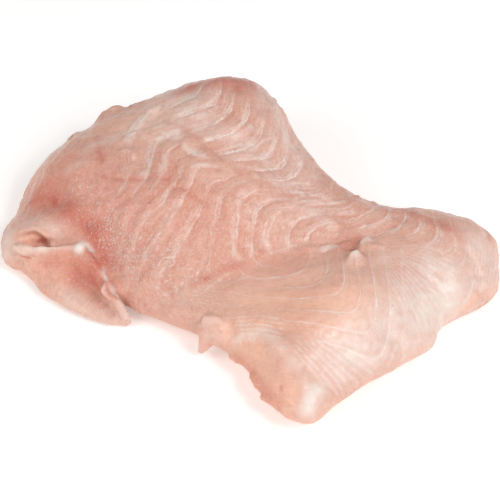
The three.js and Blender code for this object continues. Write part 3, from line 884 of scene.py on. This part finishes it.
def empty_material(name):
    """A new material and its node tree, with nothing in it."""
    made = bpy.data.materials.new(name)
    made.use_nodes = True
    made.node_tree.nodes.clear()
    return made, made.node_tree


flesh, tree = empty_material("raw_fish_muscle_wet")
print("flesh colour", FLESH, "is", [round(part, 3) for part in linear(FLESH)])

# %% Grain and stored fields
# Size in mm and detail of each grain. Real fibres are finer than the specks, but would be too fine to show.
GRAINS = {
    "zone": (14, 3), "wave": (8, 2), "ripple": (2.2, 2), "width": (5, 3),
    "blotch": (4, 4), "mottle": (1.8, 4), "speck": (0.75, 2),
}
place = add(tree, "ShaderNodeTexCoord", out="Object")
grain = {}
for name, (size, detail) in GRAINS.items():
    settings = {"Vector": place, "Scale": 1 / (size * MM), "Detail": detail}
    grain[name] = add(tree, "ShaderNodeTexNoise", settings)
stored = {}
for name in FIELDS:
    vector = add(tree, "ShaderNodeAttribute", out="Vector", attribute_name=name)
    stored[name] = add(tree, "ShaderNodeSeparateXYZ", [vector]).node.outputs
number, along, shown = stored["flakes"]
wet_share, edge_share, feather_share = stored["finish"]
fan_order, fan_share, _ = stored["fans"]
print("grains:", ", ".join(grain))

# %% Lines between the flakes
MATH = "ShaderNodeMath"
RANGE = "ShaderNodeMapRange"
BROAD_WOBBLE = 0.35                       # flakes
FINE_WOBBLE = 0.22
FAN_WOBBLE = 1.2                          # share of the flakes' wobble
NOISE_MIDDLE = 0.5
LINE_STEPS = (3.7, 0.45)                  # of the noise, from line to line and along a line
LINE_STRENGTH = (0.36, 0.6, 0.3, 1)       # limits of the noise, and the strength that they give
STRANDS = {"strand": (7.0, 0.7, 4), "dash": (9.0, 3.0, 2)}   # across and along a flake, and detail

sway = add(tree, MATH, [grain["wave"], BROAD_WOBBLE], operation="MULTIPLY")
sway = add(tree, MATH, [grain["ripple"], FINE_WOBBLE, sway], operation="MULTIPLY_ADD")
sway = add(tree, MATH, [sway, NOISE_MIDDLE * (BROAD_WOBBLE + FINE_WOBBLE)], operation="SUBTRACT")
wavy = add(tree, MATH, [sway, feather_share, number], operation="MULTIPLY_ADD")
fan_wavy = add(tree, MATH, [sway, FAN_WOBBLE, fan_order], operation="MULTIPLY_ADD")
since_line = add(tree, MATH, [wavy], operation="FRACT")
until_line = add(tree, MATH, [1.0, since_line], operation="SUBTRACT")
nearest = add(tree, MATH, [wavy], operation="ROUND")

# Each line is strong in places and lost in others, and fine strands run along it.
line_row = add(tree, MATH, [nearest, LINE_STEPS[0]], operation="MULTIPLY")
line_way = add(tree, MATH, [along, LINE_STEPS[1]], operation="MULTIPLY")
line_place = add(tree, "ShaderNodeCombineXYZ", [line_row, line_way])
strength = add(tree, "ShaderNodeTexNoise", {"Vector": line_place, "Scale": 1, "Detail": 2})
strength = add(tree, RANGE, [strength, *LINE_STRENGTH])
shown = add(tree, MATH, [shown, strength], operation="MULTIPLY")
strand = {}
for name, (rows, steps, detail) in STRANDS.items():
    strand_row = add(tree, MATH, [wavy, rows], operation="MULTIPLY")
    strand_step = add(tree, MATH, [along, steps], operation="MULTIPLY")
    strand_place = add(tree, "ShaderNodeCombineXYZ", [strand_row, strand_step])
    strand[name] = add(tree, "ShaderNodeTexNoise", {"Vector": strand_place, "Scale": 1, "Detail": detail})
print("line nodes so far:", len(tree.nodes))

# %% Thin lines with a pale web before them
HALF_FLAKE = 0.5
WIDTH_LIMITS = (0.35, 0.7)                # of the noise, for the thinnest and the thickest line
LINE_SHARES = (0.05, 0.16)                # thinnest and thickest line, as shares of a flake's width
FAN_SHARES = (0.22, 0.65)                 # the same for the fine edges of a fan
FEATHER_POWERS = (8, 1.7)                 # how steeply a leaf pales before its edge, least and most feathered
THIN_LINES = {"flake": (wavy, LINE_SHARES), "fan": (fan_wavy, FAN_SHARES)}
# Limits of a noise, or of how feathered a muscle is, and what they give.
FRAYED = (0.38, 0.6, 0.12, 1)
GRANULAR = (0.35, 0.65, 0.5, 1.4)
CORE_SHARE = (0.3, 1, 0.75, 0.2)
HALO_SHARE = (0.3, 1, 0.5, 1.3)
BROKEN = (0.33, 0.58, 0.4, 1)
DEEP_POWER = 4.0                          # how soon the pink after a line is gone

thin = {}
for name, (numbers, shares) in THIN_LINES.items():
    away = add(tree, MATH, [numbers, HALF_FLAKE], operation="PINGPONG")
    width = add(tree, RANGE, [grain["width"], *WIDTH_LIMITS, *shares])
    away = add(tree, MATH, [away, width], operation="DIVIDE")
    thin[name] = add(tree, MATH, [1.0, away], operation="SUBTRACT", use_clamp=True)
steepness = add(tree, RANGE, [feather_share, 0, 1, *FEATHER_POWERS])
halo = add(tree, MATH, [since_line, steepness], operation="POWER")
frayed = add(tree, RANGE, [strand["strand"], *FRAYED])
granular = add(tree, RANGE, [grain["speck"], *GRANULAR])
frayed = add(tree, MATH, [frayed, granular], operation="MULTIPLY")
halo = add(tree, MATH, [halo, frayed], operation="MULTIPLY")
core_share = add(tree, RANGE, [feather_share, *CORE_SHARE])
core = add(tree, MATH, [thin["flake"], core_share], operation="MULTIPLY")
halo_share = add(tree, RANGE, [feather_share, *HALO_SHARE])
line = add(tree, MATH, [halo, halo_share, core], operation="MULTIPLY_ADD")
line = add(tree, MATH, [line, shown], operation="MULTIPLY")
deep = add(tree, MATH, [until_line, DEEP_POWER], operation="POWER")
deep = add(tree, MATH, [deep, shown], operation="MULTIPLY")
broken = add(tree, RANGE, [grain["mottle"], *BROKEN])
edge_share = add(tree, MATH, [thin["fan"], fan_share, edge_share], operation="MULTIPLY_ADD")
edge_share = add(tree, MATH, [edge_share, broken], operation="MULTIPLY")
print("line nodes in all:", len(tree.nodes))

# %% Painted glints and shades
RAGGED = (0.34, 0.66, 0.75, 1.2)          # limits of the blotches, and the share of a tint that they leave
MILKY = (0.5, 0.72)                       # limits of the blotches that are milky
ZONE = (0.3, 0.7)                         # limits of the zones, from the deeper flesh to the lighter
# What each kind of painted glint is made from, its limits, and its share on wet flesh and everywhere: pale
# flecks in the colour that stand in for the wet film's glints.
PAINTED_GLINTS = {
    "glint_specks": (grain["speck"], (0.58, 0.68), 0.3, 0.22),
    "glint_dashes": (strand["dash"], (0.56, 0.7), 0.7, 0.12),
}
# What each kind of shade is made from, and its limits.
SHADES = {"dim": (grain["mottle"], (0.52, 0.32)), "thread": (strand["strand"], (0.5, 0.36))}

ragged = add(tree, RANGE, [grain["blotch"], *RAGGED])
tints = [add(tree, MATH, [share, ragged], operation="MULTIPLY") for share in stored["tints"]]
blush_and_shade_share, amber_and_glow_share, pallor_and_highlight_share = tints
# Past 1 the blush turns deep red: this is mostly painted shade in the hollow and under the lip, where strokes
# add up.
blood_and_shade_share = add(tree, MATH, [blush_and_shade_share, 1.0], operation="SUBTRACT", use_clamp=True)
milky = add(tree, RANGE, [grain["blotch"], *MILKY])
zone_share = add(tree, RANGE, [grain["zone"], *ZONE])
painted_glint = {}
for name, (source, limits, on_wet, everywhere) in PAINTED_GLINTS.items():
    dense = add(tree, RANGE, [source, *limits])
    share = add(tree, MATH, [wet_share, on_wet, everywhere], operation="MULTIPLY_ADD")
    painted_glint[name] = add(tree, MATH, [dense, share], operation="MULTIPLY")
shade = {}
for name, (source, limits) in SHADES.items():
    dark = add(tree, RANGE, [source, *limits])
    shade[name] = add(tree, MATH, [dark, feather_share], operation="MULTIPLY")
print("flecks and shades:", ", ".join([*painted_glint, *shade]))

# %% Colours, one over the other
# Where each colour lies, how much it covers there, and the colour.
# Painted light among these layers: shade in the blush and its deep red, glow in the amber, highlights in the
# pallor, and glints in the speckle and dash layers.
LAYERS = [
    (amber_and_glow_share, 1.0, AMBER_GLOW), (blush_and_shade_share, 1.0, BLUSH_RED), (blood_and_shade_share, 1.0, BLOOD_AND_SHADE_RED),
    (milky, 0.12, FLESH_PALE), (shade["dim"], 0.4, FLESH_SHADE), (shade["thread"], 0.3, FLESH_SHADE),
    (deep, 0.35, BLUSH_RED), (pallor_and_highlight_share, 0.9, FLESH_PALE),
    (line, 0.8, LINE_WHITE), (edge_share, 0.6, LINE_WHITE),
    (painted_glint["glint_specks"], 0.8, LINE_WHITE), (painted_glint["glint_dashes"], 0.8, LINE_WHITE),
]
ends = {6: linear(FLESH_DEEP), 7: linear(FLESH)}
colour = add(tree, "ShaderNodeMix", {0: zone_share, **ends}, out=2, data_type="RGBA")
for share, amount, hex_colour in LAYERS:
    share = add(tree, MATH, [share, amount], operation="MULTIPLY", use_clamp=True)
    colour = add(tree, "ShaderNodeMix", {0: share, 6: colour, 7: linear(hex_colour)}, out=2, data_type="RGBA")
print("layers of colour:", len(LAYERS))

# %% Bump, gloss and the finished flesh
# What stands off the flesh, and how far in mm.
HEIGHTS = [
    (grain["mottle"], 0.26), (strand["strand"], 0.08), (grain["speck"], 0.1), (line, 0.06),
    (painted_glint["glint_specks"], 0.16), (painted_glint["glint_dashes"], 0.14), (edge_share, 0.08),
]
ROUGHENED = (0.3, 1, 0.5, 1)              # limits of the feathering, and the share of the heights
GLOSS = (0.3, 0.7, 0.46, 0.3)             # limits of the mottle, and the roughness of the flesh
FLESH_IOR = 1.36
WATER_IOR = 1.33
LIGHT_DEPTH = 3                           # mm that light goes into the flesh

height = 0.0
for share, amount in HEIGHTS:
    height = add(tree, MATH, [share, amount, height], operation="MULTIPLY_ADD")
roughened = add(tree, RANGE, [feather_share, *ROUGHENED])
height = add(tree, MATH, [height, roughened], operation="MULTIPLY")
bump = add(tree, "ShaderNodeBump", {"Height": height, "Distance": MM, "Strength": 0.8})
gloss = add(tree, RANGE, [grain["mottle"], *GLOSS])
shader = add(tree, "ShaderNodeBsdfPrincipled", {
    "Base Color": colour, "Normal": bump, "Roughness": gloss, "IOR": FLESH_IOR,
    "Specular IOR Level": 0.4,
    "Subsurface Weight": 0.4, "Subsurface Radius": (1.0, 0.45, 0.3), "Subsurface Scale": LIGHT_DEPTH * MM,
    "Coat Weight": 0.3, "Coat Roughness": 0.12, "Coat IOR": WATER_IOR})
add(tree, "ShaderNodeOutputMaterial", {"Surface": shader})
skin.materials.clear()
skin.materials.append(flesh)
skin.polygons.foreach_set("use_smooth", [True] * len(skin.polygons))
print("material", flesh.name, "has", len(tree.nodes), "nodes")

# %% [markdown]
# ## Torn fibres
# Where wet flesh was rubbed or torn, short muscle fibres stand off it and catch the light as slivers. There
# are about two hundred, too many to place by hand, so a node tree scatters one sliver over the skin: more
# where the wetness strokes are, along a direction that turns slowly, as neighbouring fibres lie side by side.
# The result is kept as a plain mesh.

# %% Wet muscle fibre, torn off
# A torn fibre is pale and lets some light through, so a sliver reads as a bright fleck with a soft edge.
SLIVER_WHITE = "#eac8ba"
SLIVER_TINT = 3                           # mm, over which its colour changes

sliver_material, tree = empty_material("torn_muscle_fibre_wet")
place = add(tree, "ShaderNodeTexCoord", out="Object")
tint = add(tree, "ShaderNodeTexNoise", {"Vector": place, "Scale": 1 / (SLIVER_TINT * MM), "Detail": 2})
ends = {6: linear(SLIVER_WHITE), 7: linear(FLESH)}
colour = add(tree, "ShaderNodeMix", {0: tint, **ends}, out=2, data_type="RGBA")
shader = add(tree, "ShaderNodeBsdfPrincipled", {
    "Base Color": colour, "Roughness": 0.3, "IOR": FLESH_IOR, "Subsurface Weight": 0.3,
    "Subsurface Radius": (1.0, 0.5, 0.35), "Subsurface Scale": MM})
add(tree, "ShaderNodeOutputMaterial", {"Surface": shader})
print("material", sliver_material.name, "has", len(tree.nodes), "nodes")

# %% A node tree that scatters slivers
SLIVER_LENGTH = (0.3, 0.9)                # mm, half of the shortest and the longest
SLIVER_SHARE = (0.26, 0.14)               # width and height as shares of the length
SLIVER_WAY = (1.0, 0.1, 0.0)              # from this direction on the plan they turn
TURN_SIZE = 16                            # mm, over which their direction changes
CLUSTER_SIZE = 5                          # mm, of the patches that they gather in
CLUSTERED = (0.42, 0.6, 0.05, 2.0)        # limits of the patches' noise, and the share of slivers
RUBBED = (0.3, 1.0)                       # wetness from which there are slivers, and with all of them
INPUTS = {"Fibres per square metre": 330000.0, "Turn": 1.8, "Stray": 0.35}
SEED = 11

tree = bpy.data.node_groups.new("torn_fibres", "GeometryNodeTree")
tree.interface.new_socket("Geometry", in_out="INPUT", socket_type="NodeSocketGeometry")
for name, value in INPUTS.items():
    tree.interface.new_socket(name, in_out="INPUT", socket_type="NodeSocketFloat").default_value = value
tree.interface.new_socket("Geometry", in_out="OUTPUT", socket_type="NodeSocketGeometry")
given = add(tree, "NodeGroupInput").node.outputs
finish = add(tree, "GeometryNodeInputNamedAttribute", {"Name": "finish"}, data_type="FLOAT_VECTOR")
wet = add(tree, "ShaderNodeSeparateXYZ", [finish])
cluster = add(tree, "ShaderNodeTexNoise", {"Scale": 1 / (CLUSTER_SIZE * MM), "Detail": 2})
cluster = add(tree, RANGE, [cluster, *CLUSTERED])
rubbed = add(tree, RANGE, [wet, *RUBBED])
density = add(tree, MATH, [rubbed, given["Fibres per square metre"]], operation="MULTIPLY")
density = add(tree, MATH, [density, cluster], operation="MULTIPLY")
spots = add(tree, "GeometryNodeDistributePointsOnFaces",
            {"Mesh": given["Geometry"], "Density": density, "Seed": SEED}, distribute_method="RANDOM")
drift = add(tree, "ShaderNodeTexNoise", {"Scale": 1 / (TURN_SIZE * MM), "Detail": 1})
turn = add(tree, MATH, [drift, given["Turn"]], operation="MULTIPLY")
stray = add(tree, "FunctionNodeRandomValue", {2: -1.0, 3: 1.0, "Seed": SEED}, out=1, data_type="FLOAT")
turn = add(tree, MATH, [stray, given["Stray"], turn], operation="MULTIPLY_ADD")
spin = add(tree, "ShaderNodeCombineXYZ", {"Z": turn})
combed = add(tree, "FunctionNodeAlignRotationToVector",
             {"Rotation": spots.node.outputs["Rotation"], "Vector": SLIVER_WAY}, axis="X", pivot_axis="Z")
pose = add(tree, "FunctionNodeRotateRotation", [combed, spin], rotation_space="LOCAL")
length = add(tree, "FunctionNodeRandomValue",
             {2: SLIVER_LENGTH[0] * MM, 3: SLIVER_LENGTH[1] * MM, "Seed": SEED + 1}, out=1, data_type="FLOAT")
size = add(tree, "ShaderNodeVectorMath", {0: (1, *SLIVER_SHARE), "Scale": length}, operation="SCALE")
sliver = add(tree, "GeometryNodeMeshIcoSphere", {"Radius": 1.0, "Subdivisions": 1})
slivers = add(tree, "GeometryNodeInstanceOnPoints",
              {"Points": spots, "Instance": sliver, "Rotation": pose, "Scale": size})
plain = add(tree, "GeometryNodeRealizeInstances", [slivers])
plain = add(tree, "GeometryNodeSetMaterial", {"Geometry": plain, "Material": sliver_material})
add(tree, "NodeGroupOutput", [plain])
print("node tree", tree.name, "has", len(tree.nodes), "nodes")

# %% Slivers as a plain mesh
holder = placed("holder", skin)
holder.modifiers.new("scatter", "NODES").node_group = tree
fibre_mesh = plain_mesh(holder)
bpy.data.objects.remove(holder)
fibre_mesh.name = "torn_fibres"
fibres = placed("torn_fibres", fibre_mesh)
fibre_mesh.materials.clear()
fibre_mesh.materials.append(sliver_material)
fibre_mesh.polygons.foreach_set("material_index", [0] * len(fibre_mesh.polygons))
fibre_mesh.polygons.foreach_set("use_smooth", [True] * len(fibre_mesh.polygons))
print("fibres:", len(fibre_mesh.polygons), "faces")

# %% [markdown]
# ## The studio
# A white floor, a large soft light from the front right and above, a weaker one from the left that opens the
# folds, a small one that makes the wet film glint, and an even pale surround that fills the shadows. The
# fillet's far slopes fall into half shade, as in the photograph.

# %% Matt white board, painted
# Matt paint scatters light evenly, so the fillet lies on plain white with a soft shadow and no reflection.
FLOOR_WHITE = "#fbfaf9"
FLOOR_ROUGHNESS = 0.9
FLOOR_GLOW = 0.25                         # a little light of its own keeps the floor white far from the lamps
FLOOR_SIZE = 6                            # m
FLOOR_DROP = 0.05 * MM                    # keeps the floor just clear of the flat underside

floor_mesh = bpy.data.meshes.new("floor")
half = FLOOR_SIZE / 2
floor_mesh.from_pydata([(-half, -half, -FLOOR_DROP), (half, -half, -FLOOR_DROP), (half, half, -FLOOR_DROP),
                        (-half, half, -FLOOR_DROP)], [], [(0, 1, 2, 3)])
floor = placed("floor", floor_mesh)
floor_material = bpy.data.materials.new("matt_white_board")
floor_material.use_nodes = True
floor_shader = floor_material.node_tree.nodes["Principled BSDF"]
floor_shader.inputs["Base Color"].default_value = linear(FLOOR_WHITE)
floor_shader.inputs["Roughness"].default_value = FLOOR_ROUGHNESS
floor_shader.inputs["Emission Color"].default_value = linear(FLOOR_WHITE)
floor_shader.inputs["Emission Strength"].default_value = FLOOR_GLOW
floor_mesh.materials.append(floor_material)
print("floor of", FLOOR_SIZE, "m")

# %% Lights and surround
# Place and size in mm, and watts.
LIGHTS = {
    "key": ((430, -330, 520), 420, 2.62),
    "glint": ((330, -400, 600), 70, 0.45),
    "side": ((-420, -260, 380), 400, 1.3),
}
SURROUND_WHITE = "#ffffff"
SURROUND_STRENGTH = 0.43


def softbox(name, place_mm, size_mm, watts):
    """A square soft light that faces the fillet."""
    light = bpy.data.lights.new(name, "AREA")
    light.size = size_mm * MM
    light.energy = watts
    holder = placed(name, light)
    holder.location = Vector(place_mm) * MM
    holder.rotation_euler = (TARGET - holder.location).to_track_quat("-Z", "Y").to_euler()


for name, (place_mm, size_mm, watts) in LIGHTS.items():
    softbox(name, place_mm, size_mm, watts)
world = bpy.data.worlds.new("pale_surround")
world.use_nodes = True
world.node_tree.nodes["Background"].inputs["Color"].default_value = linear(SURROUND_WHITE)
world.node_tree.nodes["Background"].inputs["Strength"].default_value = SURROUND_STRENGTH
scene.world = world
scene.view_settings.view_transform = "Standard"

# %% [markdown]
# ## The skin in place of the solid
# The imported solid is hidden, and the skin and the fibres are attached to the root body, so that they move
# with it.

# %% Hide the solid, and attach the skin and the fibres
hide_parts("fillet")
for piece in (fillet, fibres):
    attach(piece, "root")
